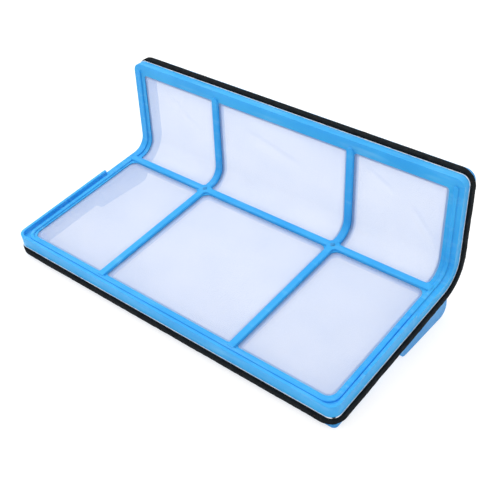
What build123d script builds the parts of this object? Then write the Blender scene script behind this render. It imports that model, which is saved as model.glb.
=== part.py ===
from build123d import *
import math
import os

# L-shaped mesh pre-filter: a sloping floor panel and an upright wall panel joined by a rounded bend.
# Millimetres, +X along the filter, +Y towards the wall, +Z up, origin at the bottom centre.
# Three measures describe a place on the L: x along it, u up the floor from its front edge (or w up the
# wall from the corner line), and n out of the dust-side face, so negative n lies behind that face.

# Overall size
frame_length = 140.0
floor_depth = 66.3
wall_height = 36.3
floor_rise = 6.3
bend_radius = 6.0
plate_corner_radius = 3.3

# Layers behind the dust-side face
front_skin = 0.4
mesh_thickness = 0.2
rear_skin = 1.2
front_edge_thickness = 2.9
seal_thickness = 3.0
rear_flange_thickness = 1.5
tape_thickness = 0.25

# Borders and ribs around the six windows
floor_side_border = 4.0
wall_side_border = 5.0
front_border = 4.2
top_border = 4.1
crease_margin = 0.05
rib_offset = 29.15
rib_width = 2.6
rear_rib_overlap = 1.0
floor_window_radius = 3.0
bend_window_radius = 2.0
small_window_radius = 1.3

# Beads along the borders, bars and pads on the ribs, and the lip around the floor's outer edge
bead_width = 1.4
bead_height = 0.55
bar_height = 0.8
bead_round = 0.35
end_flat = 0.1
bead_inset = 2.6
bead_corner_radius = 3.6
bead_top_reach = 1.4
pad_radius = 2.4
pad_height = 0.7
pad_round = 0.2
bar_end_gap = 1.7
lip_height = 1.65
lip_width = 1.0
lip_length = 44.5

# Shell fits, seal and its groove
skirt_width = 2.4
shell_clearance = 0.1
groove_wall_width = 1.0
mesh_edge_gap = 0.2
mesh_split_gap = 0.3
mesh_split_offset = 0.9
seal_overhang = 0.85
seal_corner_radius = 5.5
seal_joint_gap = 0.12
seal_joint_angle = -45
tape_overhang = 0.15
rear_flange_inset = 0.2
rear_flange_front_radius = 1.6
rear_flange_top_radius = 3.6

# Heat stakes at the rib crossings
stake_radius = 0.5
stake_hole_clearance = 0.08
stake_head_radius = 0.85
stake_head_height = 0.35

# Side tabs that the filter stands on
tab_length = 28.1
tab_end_inset = 2.7
tab_thickness = 1.8
tab_corner_radius = 3.5
rest_land_cut = 0.15

# Levels of n, from the dust side to the clean side
mesh_top = -front_skin
mesh_bottom = mesh_top - mesh_thickness
rear_skin_bottom = mesh_bottom - rear_skin
groove_top = -front_edge_thickness
groove_bottom = groove_top - seal_thickness
back_level = groove_bottom - rear_flange_thickness
cut_margin = 2.0

# Lines on the L
half_length = frame_length / 2
rise = math.radians(floor_rise)
half_turn = math.radians(90 - floor_rise) / 2
bend_start = floor_depth - bend_radius * math.tan(half_turn)
crease_rib_end = bend_start - crease_margin - bend_window_radius
crease_rib_start = crease_rib_end - rib_width
crease_line = crease_rib_end - rib_width / 2
mesh_split = crease_line + mesh_split_offset
wall_window_top = wall_height - top_border
rear_frame_inset = skirt_width + shell_clearance
mesh_inset = rear_frame_inset + mesh_edge_gap
mesh_width = frame_length - mesh_inset * 2
mesh_corner_radius = plate_corner_radius - mesh_inset
side_bead_x = half_length - bead_inset
tab_end = floor_depth - tab_end_inset
tab_start = tab_end - tab_length

# The corner line, where the dust-side planes of floor and wall would meet
flange_front_reach = floor_depth - rear_flange_inset
corner_z = flange_front_reach * math.sin(rise) - back_level * math.cos(rise) - rest_land_cut
seal_front_reach = floor_depth + seal_overhang
front_y_from_corner = -seal_front_reach * math.cos(rise) - groove_top * math.sin(rise)
corner_y = -(front_y_from_corner - back_level) / 2

floor_along = Vector(0, math.cos(rise), math.sin(rise))
floor_normal = Vector(0, -math.sin(rise), math.cos(rise))
wall_normal = Vector(0, -1, 0)
corner_point = Vector(0, corner_y, corner_z)
floor_plane = Plane(corner_point - floor_along * floor_depth, x_dir=(1, 0, 0), z_dir=floor_normal)


def side_point(u, n):
    """A point of the side view at distance u up the floor and level n."""
    return corner_point + floor_along * (u - floor_depth) + floor_normal * n


def wall_point(w, n):
    """A point of the side view at height w up the wall and level n."""
    return corner_point + Vector(0, 0, w) + wall_normal * n


def corner_at(n):
    """Where the floor and wall planes at level n cross."""
    drop = n / math.cos(rise) - n * math.tan(rise)
    return corner_point + Vector(0, -n, drop)


def side_curve(n, u_start, w_end):
    """The line of the L at level n: floor, bend and wall."""
    ends = (side_point(u_start, n), corner_at(n), wall_point(w_end, n))
    return FilletPolyline(*ends, radius=bend_radius - n)


def l_band(n_low, n_high, u_start, w_end, x_low, x_high):
    """A solid that follows the L between two levels, and between two places along X."""
    low = side_curve(n_low, u_start, w_end)
    high = side_curve(n_high, u_start, w_end)
    face = make_face([low, Line(low @ 1, high @ 1), high, Line(high @ 0, low @ 0)])
    solid = extrude(face, amount=x_high - x_low, dir=(1, 0, 0))
    return Pos(x_low, 0, 0) * solid


def round_ends(solid, front_radius, top_radius):
    """Round the corners at the front end and at the top end of an L-shaped solid."""
    front_edges = solid.edges().filter_by(Axis((0, 0, 0), floor_normal))
    solid = fillet(front_edges, front_radius)
    top_edges = solid.edges().filter_by(Axis.Y).group_by(Axis.Z)[-1]
    return fillet(top_edges, top_radius)


def l_slab(n_low, n_high, inset, front_radius, top_radius=None):
    """The whole L between two levels, its outline moved in from the front frame's by inset."""
    half = half_length - inset
    slab = l_band(n_low, n_high, inset, wall_height - inset, -half, half)
    return round_ends(slab, front_radius, top_radius or front_radius)


def window_spans(border, overlap):
    """Where the three windows lie along X, each shortened by overlap at both sides."""
    outer = half_length - border - overlap
    rib_outer = rib_offset + rib_width / 2 + overlap
    rib_inner = rib_offset - rib_width / 2 - overlap
    return [(-outer, -rib_outer), (-rib_inner, rib_inner), (rib_outer, outer)]


def floor_window(span, overlap):
    """A cutter for one floor window, with tighter corners where a rib meets the front border."""
    low = front_border + overlap
    high = crease_rib_start - overlap
    points = [(span[0], low), (span[1], low), (span[1], high), (span[0], high)]
    radii = [floor_window_radius - overlap] * len(points)
    for index, x in enumerate(span):
        if abs(x) < half_length - floor_side_border - overlap:
            radii[index] = small_window_radius - overlap
    outline = FilletPolyline(*points, radius=radii, close=True)
    depth = cut_margin * 2 - rear_skin_bottom
    return floor_plane * Pos(0, 0, rear_skin_bottom - cut_margin) * extrude(make_face(outline), amount=depth)


def wall_window(span, overlap):
    """A cutter for one wall window, which reaches down through the bend to the crease rib."""
    n_low = rear_skin_bottom - cut_margin
    u_start = crease_rib_end + overlap
    cutter = l_band(n_low, cut_margin, u_start, wall_window_top - overlap, span[0], span[1])
    return round_ends(cutter, bend_window_radius - overlap, small_window_radius - overlap)


def windows(overlap):
    """Cutters for all six windows."""
    cutters = [floor_window(span, overlap) for span in window_spans(floor_side_border, overlap)]
    return cutters + [wall_window(span, overlap) for span in window_spans(wall_side_border, overlap)]


def stake_places():
    """The two rib crossings, on the floor plane."""
    return [(-rib_offset, crease_line), (rib_offset, crease_line)]


def stake_holes():
    """Cutters where the heat stakes pass through the mesh and the front frame."""
    hole = Cylinder(stake_radius + stake_hole_clearance, cut_margin * 2)
    return [floor_plane * Pos(*place, 0) * hole for place in stake_places()]


def soften(bead, radius):
    """Round the top edges of a solid that was made on the XY plane."""
    top_edges = bead.edges().group_by(Axis.Z)[-1]
    return fillet(top_edges, radius)


def floor_bead(path, width, height):
    """A bead on the floor that follows a line drawn on the floor plane, with its top edges rounded."""
    return floor_plane * soften(extrude(trace(path, line_width=width), amount=height), bead_round)


def perimeter_bead():
    """The bead that runs down one side of the floor, along the front and up the other side."""
    left = [(-side_bead_x, crease_line), (-side_bead_x, bead_inset)]
    right = [(side_bead_x, bead_inset), (side_bead_x, crease_line)]
    path = FilletPolyline(*left, *right, radius=bead_corner_radius)
    return floor_bead(path, bead_width, bead_height)


def rib_bar(x):
    """The bar on one floor rib, from the perimeter bead to the rib crossing."""
    return floor_bead(Line((x, bead_inset), (x, crease_line - bar_end_gap)), rib_width, bar_height)


def crease_bar(x_low, x_high):
    """The bar on the crease rib between two places along X."""
    return floor_bead(Line((x_low, crease_line), (x_high, crease_line)), rib_width, bar_height)


def wall_bead(x, width, height, u_start):
    """A bead that starts on the floor and climbs through the bend and up the wall."""
    w_end = wall_window_top + bead_top_reach
    path = side_curve(0, u_start, w_end)
    start = Plane(side_point(u_start, 0), x_dir=(1, 0, 0), z_dir=-floor_along)
    section = Pos(x, height / 2) * Rectangle(width, height)
    section = fillet(section.vertices().group_by(Axis.Y)[-1], bead_round)
    rounded = sweep(start * section, path=path)
    blank = l_band(-cut_margin, cut_margin, u_start, w_end, x - width / 2, x + width / 2)
    return rounded & round_ends(blank, bead_round, width / 2 - end_flat)


def crossing_pad(x, u):
    """The round pad where two ribs cross."""
    return floor_plane * Pos(x, u, 0) * soften(extrude(Circle(pad_radius), amount=pad_height), pad_round)


def beads():
    """All the raised beads, bars and pads on the dust side."""
    made = [perimeter_bead()]
    near, far = rib_offset - bar_end_gap, rib_offset + bar_end_gap
    made += [crease_bar(-side_bead_x, -far), crease_bar(-near, near), crease_bar(far, side_bead_x)]
    for x, u in stake_places():
        made += [rib_bar(x), crossing_pad(x, u), wall_bead(x, rib_width, bar_height, u + bar_end_gap)]
    return made + [wall_bead(x, bead_width, bead_height, crease_line) for x in (-side_bead_x, side_bead_x)]


def lip():
    """The low upstand along the outer edge of the floor, open towards the wall."""
    def outline(inset):
        half = half_length - inset
        points = [(-half, lip_length), (-half, inset), (half, inset), (half, lip_length)]
        path = FilletPolyline(*points, radius=plate_corner_radius - inset)
        return make_face([path, Line(path @ 1, path @ 0)])
    return floor_plane * extrude(outline(0) - outline(lip_width), amount=lip_height)


def front_frame():
    """Dust-side shell: window grid, outer skirt, beads and lip, with a hole for each heat stake."""
    body = l_slab(groove_top, 0, 0, plate_corner_radius)
    pocket_radius = plate_corner_radius - skirt_width
    body -= l_slab(groove_top - cut_margin, mesh_top, skirt_width, pocket_radius)
    body -= windows(0)
    body += beads()
    body += lip()
    return body - stake_holes()


def heat_stake():
    """A pin with its melted head, standing on the rear frame's grid."""
    pin = extrude(Circle(stake_radius), amount=pad_height - mesh_bottom + stake_head_height / 2)
    pin = Pos(0, 0, mesh_bottom) * pin
    arc = SagittaArc((-stake_head_radius, 0), (stake_head_radius, 0), stake_head_height)
    half_plane = Pos(stake_head_radius, 0) * Rectangle(stake_head_radius * 2, stake_head_radius * 2)
    profile = make_face([arc, Line(arc @ 1, arc @ 0)]) & half_plane
    return pin + Pos(0, 0, pad_height) * revolve(Plane.XZ * profile, Axis.Z)


def side_tab(side):
    """The plate under one side of the floor, level along its lower edge."""
    embed = groove_bottom - rear_flange_thickness / 2
    front = [side_point(tab_start, embed), rest_point(tab_start)]
    back = [rest_point(tab_end), side_point(tab_end, embed)]
    path = FilletPolyline(*front, *back, radius=tab_corner_radius)
    face = make_face([path, Line(path @ 1, path @ 0)])
    outer = half_length - rear_flange_inset
    x_low = min(side * outer, side * (outer - tab_thickness))
    return Pos(x_low, 0, 0) * extrude(face, amount=tab_thickness, dir=(1, 0, 0))


def rest_point(u):
    """Where a line square to the floor at distance u meets the surface that the filter stands on."""
    start = side_point(u, 0)
    return start - floor_normal * (start.Z / floor_normal.Z)


def rear_frame():
    """Clean-side shell: window grid, groove wall, rear flange, side tabs and heat stakes."""
    inner_radius = plate_corner_radius - rear_frame_inset
    hollow_inset = rear_frame_inset + groove_wall_width
    body = l_slab(back_level, mesh_bottom, rear_frame_inset, inner_radius)
    flange_radii = (rear_flange_front_radius, rear_flange_top_radius)
    body += l_slab(back_level, groove_bottom, rear_flange_inset, *flange_radii)
    hollow = l_band(back_level - cut_margin, rear_skin_bottom, hollow_inset, wall_height - hollow_inset,
                    hollow_inset - half_length, half_length - hollow_inset)
    body -= hollow
    body -= windows(rear_rib_overlap)
    body += [side_tab(side) for side in (-1, 1)]
    for place in stake_places():
        body += floor_plane * Pos(*place, 0) * heat_stake()
    ground = Pos(0, 0, -frame_length / 2) * Box(frame_length * 2, frame_length * 2, frame_length)
    return body - ground


def floor_mesh():
    """The flat mesh panel of the floor, clamped between the two shells."""
    length = mesh_split - mesh_split_gap / 2 - mesh_inset
    panel = Rectangle(mesh_width, length, align=(Align.CENTER, Align.MIN))
    panel = fillet(panel.vertices().group_by(Axis.Y)[0], mesh_corner_radius)
    sheet = floor_plane * Pos(0, mesh_inset, mesh_bottom) * extrude(panel, amount=mesh_thickness)
    return sheet - stake_holes()


def wall_mesh():
    """The mesh panel of the wall, which turns through the bend and starts under the crease rib."""
    u_start = mesh_split + mesh_split_gap / 2
    sheet = l_band(mesh_bottom, mesh_top, u_start, wall_height - mesh_inset, -mesh_width / 2, mesh_width / 2)
    top_edges = sheet.edges().filter_by(Axis.Y).group_by(Axis.Z)[-1]
    return fillet(top_edges, mesh_corner_radius)


def groove_fill(n_low, n_high, outset, corner_radius):
    """A closed strip that fills the groove between two levels, out to outset past the front frame."""
    inner_radius = plate_corner_radius - skirt_width
    strip = l_slab(n_low, n_high, -outset, corner_radius)
    return strip - l_slab(n_low - cut_margin, n_high + cut_margin, skirt_width, inner_radius)


def seal_strip():
    """The foam strip in the groove, cut once where its two ends meet at a front corner."""
    strip = groove_fill(groove_bottom, groove_top - tape_thickness, seal_overhang, seal_corner_radius)
    corner = (half_length - skirt_width, skirt_width)
    reach = seal_corner_radius + seal_thickness + front_edge_thickness
    slit = Box(reach, seal_joint_gap, reach * 2, align=(Align.MIN, Align.CENTER, Align.CENTER))
    return strip - floor_plane * Pos(*corner, 0) * Rot(0, 0, seal_joint_angle) * slit


def seal_tape():
    """The adhesive tape between the foam strip and the front frame's rim."""
    return groove_fill(groove_top - tape_thickness, groove_top, tape_overhang, plate_corner_radius)


pieces = {
    "front_frame": front_frame(),
    "rear_frame": rear_frame(),
    "floor_mesh": floor_mesh(),
    "wall_mesh": wall_mesh(),
    "seal_strip": seal_strip(),
    "seal_tape": seal_tape(),
}
os.makedirs("parts", exist_ok=True)
for name, piece in pieces.items():
    export_step(piece, f"parts/{name}.step")
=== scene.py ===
import math

import bpy
import numpy as np
from mathutils import Matrix, Vector, noise


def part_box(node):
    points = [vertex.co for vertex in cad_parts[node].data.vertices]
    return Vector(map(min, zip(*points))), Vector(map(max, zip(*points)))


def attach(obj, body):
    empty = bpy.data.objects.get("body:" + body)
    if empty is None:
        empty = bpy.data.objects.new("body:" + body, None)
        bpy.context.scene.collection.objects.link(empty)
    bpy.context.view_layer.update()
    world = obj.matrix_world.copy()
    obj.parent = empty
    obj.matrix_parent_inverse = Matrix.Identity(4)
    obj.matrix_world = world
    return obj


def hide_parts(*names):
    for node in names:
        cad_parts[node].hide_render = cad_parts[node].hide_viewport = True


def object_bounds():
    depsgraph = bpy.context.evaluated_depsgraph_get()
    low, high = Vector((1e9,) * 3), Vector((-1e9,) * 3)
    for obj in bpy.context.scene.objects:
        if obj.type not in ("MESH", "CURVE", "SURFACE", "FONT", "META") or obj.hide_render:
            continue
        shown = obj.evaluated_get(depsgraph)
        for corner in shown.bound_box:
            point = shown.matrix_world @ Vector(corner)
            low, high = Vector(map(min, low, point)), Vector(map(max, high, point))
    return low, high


# Looks of a robot vacuum's L-shaped mesh pre-filter: blue moulded shells, stretched mesh and a foam seal.
# Metres, in the CAD's frame. Three measures describe a place on the L, as in the CAD source: x along it,
# s up its dust side from the floor's front edge, through the bend and up the wall, and n out of that side.

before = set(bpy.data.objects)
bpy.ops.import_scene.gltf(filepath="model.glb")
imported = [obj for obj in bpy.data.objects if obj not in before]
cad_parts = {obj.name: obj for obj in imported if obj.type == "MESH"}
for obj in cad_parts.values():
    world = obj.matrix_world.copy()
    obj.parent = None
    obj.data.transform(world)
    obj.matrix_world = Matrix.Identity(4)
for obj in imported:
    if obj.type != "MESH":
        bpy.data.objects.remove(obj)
cad_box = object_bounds()
front_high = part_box("front_frame")[1]

# The L, in the CAD source's sizes
FLOOR_RISE = math.radians(6.3)
FLOOR_DEPTH = 0.0663
WALL_HEIGHT = 0.0363
BEND_RADIUS = 0.006
FRONT_EDGE = 0.0029
HALF_LENGTH = front_high.x

# Layers behind the dust side
MESH_LEVEL = -0.00044
TAPE_THICKNESS = 0.00025
GROOVE_TOP = -FRONT_EDGE
GROOVE_BOTTOM = -0.0059

# Windows
FLOOR_SIDE_BORDER = 0.004
WALL_SIDE_BORDER = 0.005
FRONT_BORDER = 0.0042
TOP_BORDER = 0.0041
RIB_OFFSET = 0.02915
RIB_WIDTH = 0.0026
REAR_OVERLAP = 0.001
CREASE_MARGIN = 0.00005
BEND_WINDOW_RADIUS = 0.002

# Mesh panels
MESH_INSET = 0.0027
MESH_SPLIT_OFFSET = 0.0009
MESH_SPLIT_GAP = 0.0003
MESH_STEP = 0.0006
SAG = 0.00025
RIPPLE = 0.00005
RIPPLE_SCALE = 90.0
CLAMP_FADE = 0.0025
PAINTED_LIGHT_FADE = 0.0011

# Seal
SEAL_PROUD = 0.00085
SEAL_CORNER = 0.0055
GROOVE_INSET = 0.0024
PLATE_CORNER = 0.0033
SEAL_ROUND = 0.0004
SEAL_BULGE = 0.00015
SEAL_STEP = 0.0006
SEAL_ROUGHNESS = 0.00007
FOAM_SEED = 7
PIT_SCALE = 900.0
WAVE_SCALE = 160.0
SECTION_STEPS = 14
SIDE_FULLNESS = 0.6
EDGE_SHARPNESS = 0.4
CORNER_STEPS = 14

turn = math.pi / 2 - FLOOR_RISE
corner_reach = BEND_RADIUS * math.tan(turn / 2)
bend_start = FLOOR_DEPTH - corner_reach
wall_start = bend_start + BEND_RADIUS * turn
top_edge = wall_start + WALL_HEIGHT - corner_reach
floor_along = Vector((0, math.cos(FLOOR_RISE), math.sin(FLOOR_RISE)))
floor_normal = Vector((0, -math.sin(FLOOR_RISE), math.cos(FLOOR_RISE)))
corner = Vector((0, front_high.y - FRONT_EDGE, front_high.z - WALL_HEIGHT))
bend_centre = corner - floor_along * corner_reach + floor_normal * BEND_RADIUS
crease_rib_end = bend_start - CREASE_MARGIN - BEND_WINDOW_RADIUS
crease_rib_start = crease_rib_end - RIB_WIDTH
crease_line = (crease_rib_start + crease_rib_end) / 2
mesh_split = crease_line + MESH_SPLIT_OFFSET


def on_l(x, s, n):
    """The point at distance x along the L, distance s up its dust side and level n."""
    if s <= bend_start:
        return corner + floor_along * (s - FLOOR_DEPTH) + floor_normal * n + Vector((x, 0, 0))
    if s >= wall_start:
        return corner + Vector((x, -n, s - wall_start + corner_reach))
    angle = (s - bend_start) / BEND_RADIUS
    spoke = floor_along * math.sin(angle) - floor_normal * math.cos(angle)
    return bend_centre + spoke * (BEND_RADIUS - n) + Vector((x, 0, 0))


def steps(low, high, step):
    """Evenly spaced values from low to high, about a step apart."""
    return np.linspace(low, high, max(2, round(abs(high - low) / step) + 1))


def smooth(t):
    """0 below 0, 1 above 1 and an eased rise between."""
    t = min(max(t, 0.0), 1.0)
    return t * t * (3 - 2 * t)


# ---- Node helpers ----

def add_node(tree, kind, inputs=None, **settings):
    """A new shader node, with its settings, and its inputs set or linked."""
    made = tree.nodes.new(kind)
    for name, value in settings.items():
        setattr(made, name, value)
    for key, value in (inputs or {}).items():
        if isinstance(value, bpy.types.NodeSocket):
            tree.links.new(value, made.inputs[key])
        else:
            made.inputs[key].default_value = value
    return made


def calc(tree, operation, *values):
    """The result of a Math node."""
    return add_node(tree, "ShaderNodeMath", dict(enumerate(values)), operation=operation).outputs[0]


def remap(tree, value, from_low, from_high, to_low, to_high):
    """A value moved from one range to another, and kept in it."""
    ranges = {"From Min": from_low, "From Max": from_high, "To Min": to_low, "To Max": to_high}
    return add_node(tree, "ShaderNodeMapRange", {"Value": value, **ranges}).outputs["Result"]


def blend_colour(tree, share, first, second):
    """Two colours mixed by a share."""
    made = add_node(tree, "ShaderNodeMix", data_type="RGBA", blend_type="MIX")
    for socket, value in zip((made.inputs[0], made.inputs[6], made.inputs[7]), (share, first, second)):
        if isinstance(value, bpy.types.NodeSocket):
            tree.links.new(value, socket)
        else:
            socket.default_value = value
    return made.outputs[2]


def noise_value(tree, place, scale, detail=2.0, rough=0.5):
    """Noise from 0 to 1 whose features are about 1/scale metres across."""
    settings = {"Vector": place, "Scale": scale, "Detail": detail, "Roughness": rough}
    return add_node(tree, "ShaderNodeTexNoise", settings).outputs["Fac"]


def stretched(tree, place, factors):
    """Texture coordinates scaled by a factor along each axis."""
    return add_node(tree, "ShaderNodeMapping", {"Vector": place, "Scale": factors}).outputs[0]


def new_material(name):
    """An empty node material and its tree, with the output node in place."""
    material = bpy.data.materials.new(name)
    material.use_nodes = True
    tree = material.node_tree
    tree.nodes.clear()
    return material, tree, add_node(tree, "ShaderNodeOutputMaterial")


def srgb(red, green, blue):
    """A screen colour from 0 to 255 as the linear colour that shaders take."""
    def linear(value):
        share = value / 255
        return share / 12.92 if share <= 0.04045 else ((share + 0.055) / 1.055) ** 2.4
    return (linear(red), linear(green), linear(blue), 1.0)


# ---- Materials ----

def moulded_plastic(name, base, pale, deep):
    """Injection-moulded polypropylene: cloudy tint, faint flow lines, fine grain, and edges tinted paler,
    partly as wear and partly as a painted highlight along them.
    """
    material, tree, output = new_material(name)
    place = add_node(tree, "ShaderNodeTexCoord").outputs["Object"]
    clouds = noise_value(tree, place, 70.0, detail=4.0)
    flow = noise_value(tree, stretched(tree, place, (60.0, 420.0, 420.0)), 1.0, detail=3.0)
    grain = noise_value(tree, place, 2600.0)
    scuffs = noise_value(tree, stretched(tree, place, (900.0, 90.0, 300.0)), 1.0, detail=5.0, rough=0.65)

    soft_edge = add_node(tree, "ShaderNodeBevel", {"Radius": 0.00014}, samples=6).outputs[0]
    face = add_node(tree, "ShaderNodeNewGeometry").outputs["Normal"]
    normals = {0: soft_edge, 1: face}
    turned = add_node(tree, "ShaderNodeVectorMath", normals, operation="DOT_PRODUCT").outputs["Value"]
    edge = remap(tree, turned, 0.985, 0.86, 0.0, 1.0)
    # Paler edges: partly wear, partly a painted highlight along the edges, broken up by the scuff noise.
    wear_and_edge_highlight = calc(tree, "MULTIPLY", edge, remap(tree, scuffs, 0.3, 0.62, 0.25, 1.0))

    tint = blend_colour(tree, remap(tree, clouds, 0.35, 0.65, 0.0, 1.0), base, deep)
    tint = blend_colour(tree, remap(tree, flow, 0.52, 0.75, 0.0, 0.3), tint, pale)
    tint = blend_colour(tree, calc(tree, "MULTIPLY", wear_and_edge_highlight, 0.35), tint, pale)

    shine = remap(tree, calc(tree, "ADD", clouds, scuffs), 0.8, 1.2, 0.3, 0.46)
    bumps = calc(tree, "ADD", grain, calc(tree, "MULTIPLY", scuffs, 0.8))
    relief = {"Strength": 0.35, "Distance": 0.00004, "Height": bumps, "Normal": soft_edge}
    surface = {
        "Base Color": tint,
        "Roughness": shine,
        "IOR": 1.49,
        "Specular IOR Level": 0.2,
        "Subsurface Weight": 0.25,
        "Subsurface Radius": (0.4, 0.8, 1.0),
        "Subsurface Scale": 0.0012,
        "Normal": add_node(tree, "ShaderNodeBump", relief).outputs[0],
    }
    shader = add_node(tree, "ShaderNodeBsdfPrincipled", surface)
    tree.links.new(shader.outputs[0], output.inputs["Surface"])
    return material


def woven_mesh(name, colour, shade, painted_edge_light_colour):
    """Fine plain-woven nylon mesh: rounded threads, open holes, and a pale blue-white painted light along
    the frame's edges, which lifts the shade at the feet of the ribs.
    """
    thread_pitch = 0.00028
    hole_share = 0.5
    thread_softness = 0.12
    translucent_share = 0.48
    material, tree, output = new_material(name)
    flat = add_node(tree, "ShaderNodeUVMap", uv_map="flat").outputs[0]
    spun = add_node(tree, "ShaderNodeMapping", {"Vector": flat, "Scale": (1 / thread_pitch,) * 3}).outputs[0]
    axes = add_node(tree, "ShaderNodeSeparateXYZ", {0: spun})

    def thread(along, across):
        """Height of one set of threads, which pass over and under the other set."""
        ridge = calc(tree, "ABSOLUTE", calc(tree, "COSINE", calc(tree, "MULTIPLY", across, math.pi)))
        weave = calc(tree, "SINE", calc(tree, "MULTIPLY", calc(tree, "ADD", along, across), math.pi))
        return calc(tree, "MULTIPLY", ridge, remap(tree, weave, -1.0, 1.0, 0.75, 1.0)), ridge

    warp, warp_ridge = thread(axes.outputs[1], axes.outputs[0])
    weft, weft_ridge = thread(axes.outputs[0], axes.outputs[1])
    height = calc(tree, "MAXIMUM", warp, weft)
    ridges = calc(tree, "MAXIMUM", warp_ridge, weft_ridge)
    cover = remap(tree, ridges, hole_share, hole_share + thread_softness, 0.0, 1.0)

    clouds = noise_value(tree, stretched(tree, flat, (45.0, 60.0, 1.0)), 1.0, detail=3.0)
    tint = blend_colour(tree, remap(tree, clouds, 0.35, 0.7, 0.0, 1.0), colour, shade)
    # Painted light: a pale blue-white tint near the frame's edges that lifts the shade at the rib feet.
    painted_edge_light = add_node(tree, "ShaderNodeAttribute", attribute_name="painted_edge_light").outputs["Fac"]
    tint = blend_colour(tree, painted_edge_light, tint, painted_edge_light_colour)
    relief = {"Strength": 0.5, "Distance": 0.00008, "Height": height}
    bent = add_node(tree, "ShaderNodeBump", relief).outputs[0]
    thread_surface = {
        "Base Color": tint,
        "Roughness": remap(tree, clouds, 0.3, 0.7, 0.45, 0.6),
        "Normal": bent,
    }
    front = add_node(tree, "ShaderNodeBsdfPrincipled", thread_surface)
    through = add_node(tree, "ShaderNodeBsdfTranslucent", {"Color": tint, "Normal": bent})
    sides = {0: translucent_share, 1: front.outputs[0], 2: through.outputs[0]}
    lit = add_node(tree, "ShaderNodeMixShader", sides)
    hole = add_node(tree, "ShaderNodeBsdfTransparent")
    mixed = add_node(tree, "ShaderNodeMixShader", {0: cover, 1: hole.outputs[0], 2: lit.outputs[0]})
    tree.links.new(mixed.outputs[0], output.inputs["Surface"])
    return material


def cell_foam(name, colour, pit_shade_and_patch_colour, fleck_colour):
    """Black open-cell foam: torn pores darkened with painted shade, darker patches at random, a matt skin
    and a few caught specks of lint.
    """
    material, tree, output = new_material(name)
    place = add_node(tree, "ShaderNodeTexCoord").outputs["Object"]
    pores = add_node(tree, "ShaderNodeTexVoronoi", {"Vector": place, "Scale": 2300.0})
    pore = remap(tree, pores.outputs["Distance"], 0.1, 0.55, 0.0, 1.0)
    patches = noise_value(tree, place, 420.0, detail=4.0)
    lint = noise_value(tree, place, 1500.0, detail=1.0)
    # Painted shade: the pits of the pores are darkened. The same dark colour also goes on random patches.
    tint = blend_colour(tree, pore, pit_shade_and_patch_colour, colour)
    tint = blend_colour(tree, remap(tree, patches, 0.4, 0.7, 0.0, 0.5), tint, pit_shade_and_patch_colour)
    tint = blend_colour(tree, remap(tree, lint, 0.7, 0.78, 0.0, 0.55), tint, fleck_colour)
    relief = {"Strength": 0.8, "Distance": 0.00018, "Height": calc(tree, "ADD", pore, patches)}
    surface = {
        "Base Color": tint,
        "Roughness": remap(tree, patches, 0.3, 0.7, 0.8, 0.97),
        "Specular IOR Level": 0.12,
        "Normal": add_node(tree, "ShaderNodeBump", relief).outputs[0],
    }
    shader = add_node(tree, "ShaderNodeBsdfPrincipled", surface)
    tree.links.new(shader.outputs[0], output.inputs["Surface"])
    return material


def adhesive_film(name, clear, milky, joint):
    """Double-sided tape seen from its edge: milky film with bubbles, white round the joint, and a near-black
    speck of painted shade at the joint for the small gap in the foam there.
    """
    white_reach = (0.0015, 0.0030)
    gap_shade_reach = (0.0004, 0.0007)
    material, tree, output = new_material(name)
    place = add_node(tree, "ShaderNodeTexCoord").outputs["Object"]
    bubbles = noise_value(tree, place, 900.0, detail=3.0)
    relief = {"Strength": 0.4, "Distance": 0.00004, "Height": bubbles}
    tint = blend_colour(tree, remap(tree, bubbles, 0.4, 0.6, 0.0, 1.0), clear, milky)
    ends = {0: place, 1: joint}
    reach = add_node(tree, "ShaderNodeVectorMath", ends, operation="DISTANCE").outputs["Value"]
    tint = blend_colour(tree, remap(tree, reach, *white_reach, 1.0, 0.0), tint, srgb(255, 255, 255))
    # Painted shade: a near-black speck at the joint, standing in for the small gap in the foam there.
    tint = blend_colour(tree, remap(tree, reach, *gap_shade_reach, 1.0, 0.0), tint, srgb(12, 12, 14))
    surface = {
        "Base Color": tint,
        "Roughness": remap(tree, bubbles, 0.3, 0.7, 0.35, 0.6),
        "Normal": add_node(tree, "ShaderNodeBump", relief).outputs[0],
    }
    shader = add_node(tree, "ShaderNodeBsdfPrincipled", surface)
    tree.links.new(shader.outputs[0], output.inputs["Surface"])
    return material


# ---- Mesh building ----

def grid_mesh(name, rows, closed=False):
    """A quad mesh through rows of points. A closed one also joins each row's last point to its first."""
    width = len(rows[0])
    points = [point for row in rows for point in row]
    last = width if closed else width - 1
    faces = [
        (r * width + c, r * width + (c + 1) % width, (r + 1) * width + (c + 1) % width, (r + 1) * width + c)
        for r in range(len(rows) - 1)
        for c in range(last)
    ]
    if closed:
        faces.append(tuple(reversed(range(width))))
        faces.append(tuple(range((len(rows) - 1) * width, len(rows) * width)))
    mesh = bpy.data.meshes.new(name)
    mesh.from_pydata(points, [], faces)
    mesh.shade_smooth()
    piece = bpy.data.objects.new(name, mesh)
    bpy.context.scene.collection.objects.link(piece)
    return piece


def window_spans(border):
    """Where the windows lie along X, beside the side border of the floor or of the wall."""
    outer = HALF_LENGTH - border
    near, far = RIB_OFFSET - RIB_WIDTH / 2, RIB_OFFSET + RIB_WIDTH / 2
    return [(-outer, -far), (-near, near), (far, outer)]


def edge_distance(x, s):
    """How far a place lies inside the nearest window of the front frame. It is negative under the frame."""
    low, high, border = FRONT_BORDER, crease_rib_start, FLOOR_SIDE_BORDER
    if s > crease_line:
        low, high, border = crease_rib_end, top_edge - TOP_BORDER, WALL_SIDE_BORDER
    ends = min(s - low, high - s)
    return max(min(x - left, right - x, ends) for left, right in window_spans(border))


def loose_share(x, s):
    """0 where the shells clamp the mesh, 1 in the open middle of a window."""
    return smooth((edge_distance(x, s) - REAR_OVERLAP) / CLAMP_FADE)


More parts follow.
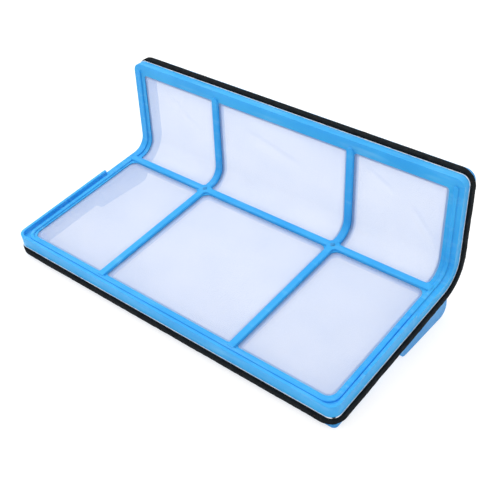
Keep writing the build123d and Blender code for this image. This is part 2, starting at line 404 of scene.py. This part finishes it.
# Soft creases in the mesh: two ends as (x, s), half width, and height towards the dust side
CREASES = [
    ((-0.0590, 0.0940), (-0.0370, 0.0790), 0.0014, -0.00065),
    ((-0.0190, 0.0890), (0.0120, 0.0810), 0.0019, -0.00065),
    ((0.0335, 0.0925), (0.0470, 0.0855), 0.0012, -0.00055),
    ((0.0510, 0.0855), (0.0630, 0.0710), 0.0015, -0.00065),
]


def crease_height(x, s):
    """Height of all the soft creases at one place."""
    total = 0.0
    for (x1, s1), (x2, s2), width, height in CREASES:
        length = math.hypot(x2 - x1, s2 - s1)
        along = ((x - x1) * (x2 - x1) + (s - s1) * (s2 - s1)) / length ** 2
        across = ((x - x1) * (s2 - s1) - (s - s1) * (x2 - x1)) / length
        taper = smooth(along / 0.3) * smooth((1 - along) / 0.3)
        total += height * taper * math.exp(-((across / width) ** 2))
    return total


def mesh_panel(name, node, s_low, s_high, material):
    """One mesh panel, clamped at the frame and a little slack in each window."""
    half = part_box(node)[1].x
    across = steps(-half, half, MESH_STEP)
    up = steps(s_low, s_high, MESH_STEP)
    rows = []
    for s in up:
        row = []
        for x in across:
            ripple = noise.noise(Vector((x * RIPPLE_SCALE, s * RIPPLE_SCALE, 0.0))) * RIPPLE
            row.append(on_l(x, s, MESH_LEVEL + loose_share(x, s) * (crease_height(x, s) + ripple - SAG)))
        rows.append(row)
    panel = grid_mesh(name, rows)
    flat = panel.data.uv_layers.new(name="flat")
    places = [(x, s) for s in up for x in across]
    for loop in panel.data.loops:
        flat.data[loop.index].uv = places[loop.vertex_index]
    # Share of painted light: 1 at the frame's edges, fading out into each window.
    painted_edge_light = panel.data.attributes.new("painted_edge_light", "FLOAT", "POINT")
    painted_edge_light.data.foreach_set("value", [1 - smooth(edge_distance(x, s) / PAINTED_LIGHT_FADE) for x, s in places])
    panel.data.materials.append(material)
    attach(panel, "root")
    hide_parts(node)
    return panel


def loop_line(inset, radius):
    """The L's outline as (x, s) pairs, moved in by inset, from the front right corner round to it again."""
    half, low, high = HALF_LENGTH - inset, inset, top_edge - inset
    centres = [
        (half - radius, low + radius, -math.pi / 2),
        (radius - half, low + radius, math.pi),
        (radius - half, high - radius, math.pi / 2),
        (half - radius, high - radius, 0.0),
    ]

    def arc(index, first, last):
        x, s, start = centres[index]
        angles = [start + math.pi / 2 * (1 - k / CORNER_STEPS) for k in range(first, last + 1)]
        return [(x + radius * math.cos(a), s + radius * math.sin(a)) for a in angles]

    line = arc(0, CORNER_STEPS // 2, CORNER_STEPS)
    for index in (1, 2, 3, 0):
        last = CORNER_STEPS if index else CORNER_STEPS // 2
        line += arc(index, 0, last)
    return line


def loop_runs(inset, radius):
    """loop_line with its straight runs divided, in the same number of parts whatever the inset."""
    line = loop_line(inset, radius)
    divided = [line[0]]
    for (x1, s1), (x2, s2) in zip(line, line[1:]):
        length = math.hypot(x2 - x1, s2 - s1)
        parts = 1
        if length > PLATE_CORNER:
            run = HALF_LENGTH * 2 if abs(x2 - x1) > abs(s2 - s1) else top_edge
            parts = round(run / SEAL_STEP)
        divided += [(x1 + (x2 - x1) * k / parts, s1 + (s2 - s1) * k / parts) for k in range(1, parts + 1)]
    return divided


def edge_strip(name, section, outer_inset, outer_radius, uneven):
    """A strip round the L's edge. Its closed section lists (distance in from the outer line, level)."""
    inner_line = loop_runs(GROOVE_INSET, PLATE_CORNER - GROOVE_INSET)
    outer_line = loop_runs(outer_inset, outer_radius)
    rows = []
    for (xi, si), (xo, so) in zip(inner_line, outer_line):
        width = math.hypot(xo - xi, so - si)
        row = []
        for depth, level in section:
            share = 0.0 if depth is None else 1 - depth / width
            point = on_l(xi + (xo - xi) * share, si + (so - si) * share, level)
            if depth is not None:
                pits = noise.noise_vector(point * PIT_SCALE) * uneven
                waves = noise.noise_vector(point * WAVE_SCALE) * uneven
                point += pits + waves
            row.append(point)
        rows.append(row)
    return grid_mesh(name, rows, closed=True)


def foam_section(low, high):
    """The foam's section: square inside the groove, rounded and slightly full outside."""
    middle, half = (low + high) / 2, (high - low) / 2
    section = [(None, low)]
    for k in range(SECTION_STEPS + 1):
        angle = math.pi * (k / SECTION_STEPS - 0.5)
        level = middle + half * math.copysign(abs(math.sin(angle)) ** SIDE_FULLNESS, angle)
        full = SEAL_BULGE * math.cos(angle)
        section.append((SEAL_ROUND * (1 - math.cos(angle) ** EDGE_SHARPNESS) - full, level))
    return section + [(None, high)]


# The rear shell is the same plastic. Its darker blues are painted shade for its tab and the other bits that
# sit in shadow under the floor.
shell_blues = {
    "front_frame": (srgb(64, 178, 243), srgb(134, 206, 248), srgb(54, 168, 237)),
    "rear_frame": (srgb(58, 152, 218), srgb(110, 184, 232), srgb(50, 142, 210)),
}
for shell_name, blues in shell_blues.items():
    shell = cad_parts[shell_name]
    shell.data.materials.clear()
    shell.data.materials.append(moulded_plastic(shell_name + "_plastic", *blues))

# The third colour is the painted light along the frame's edges.
mesh_cloth = woven_mesh("nylon_mesh", srgb(219, 226, 243), srgb(211, 220, 240), srgb(212, 238, 255))
floor_end = mesh_split - MESH_SPLIT_GAP / 2
wall_begin = mesh_split + MESH_SPLIT_GAP / 2
floor_panel = mesh_panel("floor_mesh_panel", "floor_mesh", MESH_INSET, floor_end, mesh_cloth)
wall_panel = mesh_panel("wall_mesh_panel", "wall_mesh", wall_begin, top_edge - MESH_INSET, mesh_cloth)

seal_shape = foam_section(GROOVE_BOTTOM, GROOVE_TOP - TAPE_THICKNESS)
noise.seed_set(FOAM_SEED)
foam = edge_strip("foam_seal", seal_shape, -SEAL_PROUD, SEAL_CORNER, SEAL_ROUGHNESS)
# The second colour is the painted shade in the pores, also used for random darker patches.
foam.data.materials.append(cell_foam("black_foam", srgb(19, 27, 32), srgb(6, 8, 11), srgb(92, 60, 52)))
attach(foam, "root")
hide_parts("seal_strip")

tape_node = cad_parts["seal_tape"]
tape_node.data.materials.clear()
corner_inset = PLATE_CORNER * (1 - math.sqrt(0.5))
joint_place = on_l(HALF_LENGTH - corner_inset, corner_inset, GROOVE_TOP)
tape_look = adhesive_film("tape_film", srgb(196, 220, 246), srgb(244, 248, 255), joint_place)
tape_node.data.materials.append(tape_look)

# ---- Stage, light and camera ----

FLOOR_SIZE = 6.0
HORIZON_LIGHT = 0.32
OVERHEAD_LIGHT = 1.2
KEY_PLACE = (-0.38, -0.12, 0.5)
KEY_WIDTH = 0.6
KEY_WATTS = 1.6
BEHIND_PLACE = (0.05, 0.5, 0.1)
BEHIND_WIDTH = 0.4
BEHIND_WATTS = 1.35

floor_mesh_data = bpy.data.meshes.new("studio_floor")
half_floor = FLOOR_SIZE / 2
corners = [(x * half_floor, y * half_floor, 0) for x, y in ((-1, -1), (1, -1), (1, 1), (-1, 1))]
floor_mesh_data.from_pydata(corners, [], [(0, 1, 2, 3)])
studio_floor = bpy.data.objects.new("studio_floor", floor_mesh_data)
bpy.context.scene.collection.objects.link(studio_floor)
paper, paper_tree, paper_output = new_material("white_paper")
paper_place = add_node(paper_tree, "ShaderNodeTexCoord").outputs["Object"]
paper_fibres = noise_value(paper_tree, paper_place, 300.0, detail=3.0)
paper_surface = {
    "Base Color": blend_colour(paper_tree, paper_fibres, srgb(168, 168, 168), srgb(174, 174, 174)),
    "Roughness": 0.9,
    "Specular IOR Level": 0.1,
    "Emission Color": (1.0, 1.0, 1.0, 1.0),
    "Emission Strength": 0.7,
}
paper_shader = add_node(paper_tree, "ShaderNodeBsdfPrincipled", paper_surface)
paper_tree.links.new(paper_shader.outputs[0], paper_output.inputs["Surface"])
floor_mesh_data.materials.append(paper)

world = bpy.data.worlds.new("studio")
world.use_nodes = True
sky = world.node_tree
sky_place = add_node(sky, "ShaderNodeTexCoord").outputs["Generated"]
up = add_node(sky, "ShaderNodeSeparateXYZ", {0: sky_place}).outputs[2]
sky_light = sky.nodes["Background"].inputs
sky_light["Color"].default_value = (1.0, 1.0, 1.0, 1.0)
sky.links.new(remap(sky, up, 0.0, 1.0, HORIZON_LIGHT, OVERHEAD_LIGHT), sky_light["Strength"])
bpy.context.scene.world = world
bpy.context.scene.view_settings.view_transform = "Standard"


def soft_light(name, place, aim, width, watts):
    """A square area light at a place, turned to an aim."""
    data = bpy.data.lights.new(name, "AREA")
    data.shape = "SQUARE"
    data.size = width
    data.energy = watts
    lamp = bpy.data.objects.new(name, data)
    lamp.location = place
    lamp.rotation_euler = (Vector(aim) - Vector(place)).to_track_quat("-Z", "Y").to_euler()
    bpy.context.scene.collection.objects.link(lamp)


middle = (cad_box[0] + cad_box[1]) / 2
soft_light("key", KEY_PLACE, middle, KEY_WIDTH, KEY_WATTS)
soft_light("behind", BEHIND_PLACE, middle, BEHIND_WIDTH, BEHIND_WATTS)

# The camera: where it stands round the object, what it looks at, and its small roll
CAMERA_AZIMUTH = math.radians(40.84)
CAMERA_ELEVATION = math.radians(37.41)
CAMERA_ROLL = math.radians(-2.43)
CAMERA_DISTANCE = 0.29325
CAMERA_AIM = Vector((0.01011, -0.00032, 0.01604))
CAMERA_LENS = 62.93
CAMERA_CLIP = 0.01

away = Vector((
    math.sin(CAMERA_AZIMUTH) * math.cos(CAMERA_ELEVATION),
    -math.cos(CAMERA_AZIMUTH) * math.cos(CAMERA_ELEVATION),
    math.sin(CAMERA_ELEVATION),
))
camera_data = bpy.data.cameras.new("camera")
camera_data.lens = CAMERA_LENS
camera_data.clip_start = CAMERA_CLIP
camera = bpy.data.objects.new("camera", camera_data)
upright = (-away).to_track_quat("-Z", "Y").to_matrix().to_4x4()
camera.matrix_world = (
    Matrix.Translation(CAMERA_AIM + away * CAMERA_DISTANCE) @ upright @ Matrix.Rotation(CAMERA_ROLL, 4, "Z")
)
bpy.context.scene.collection.objects.link(camera)
bpy.context.scene.camera = camera
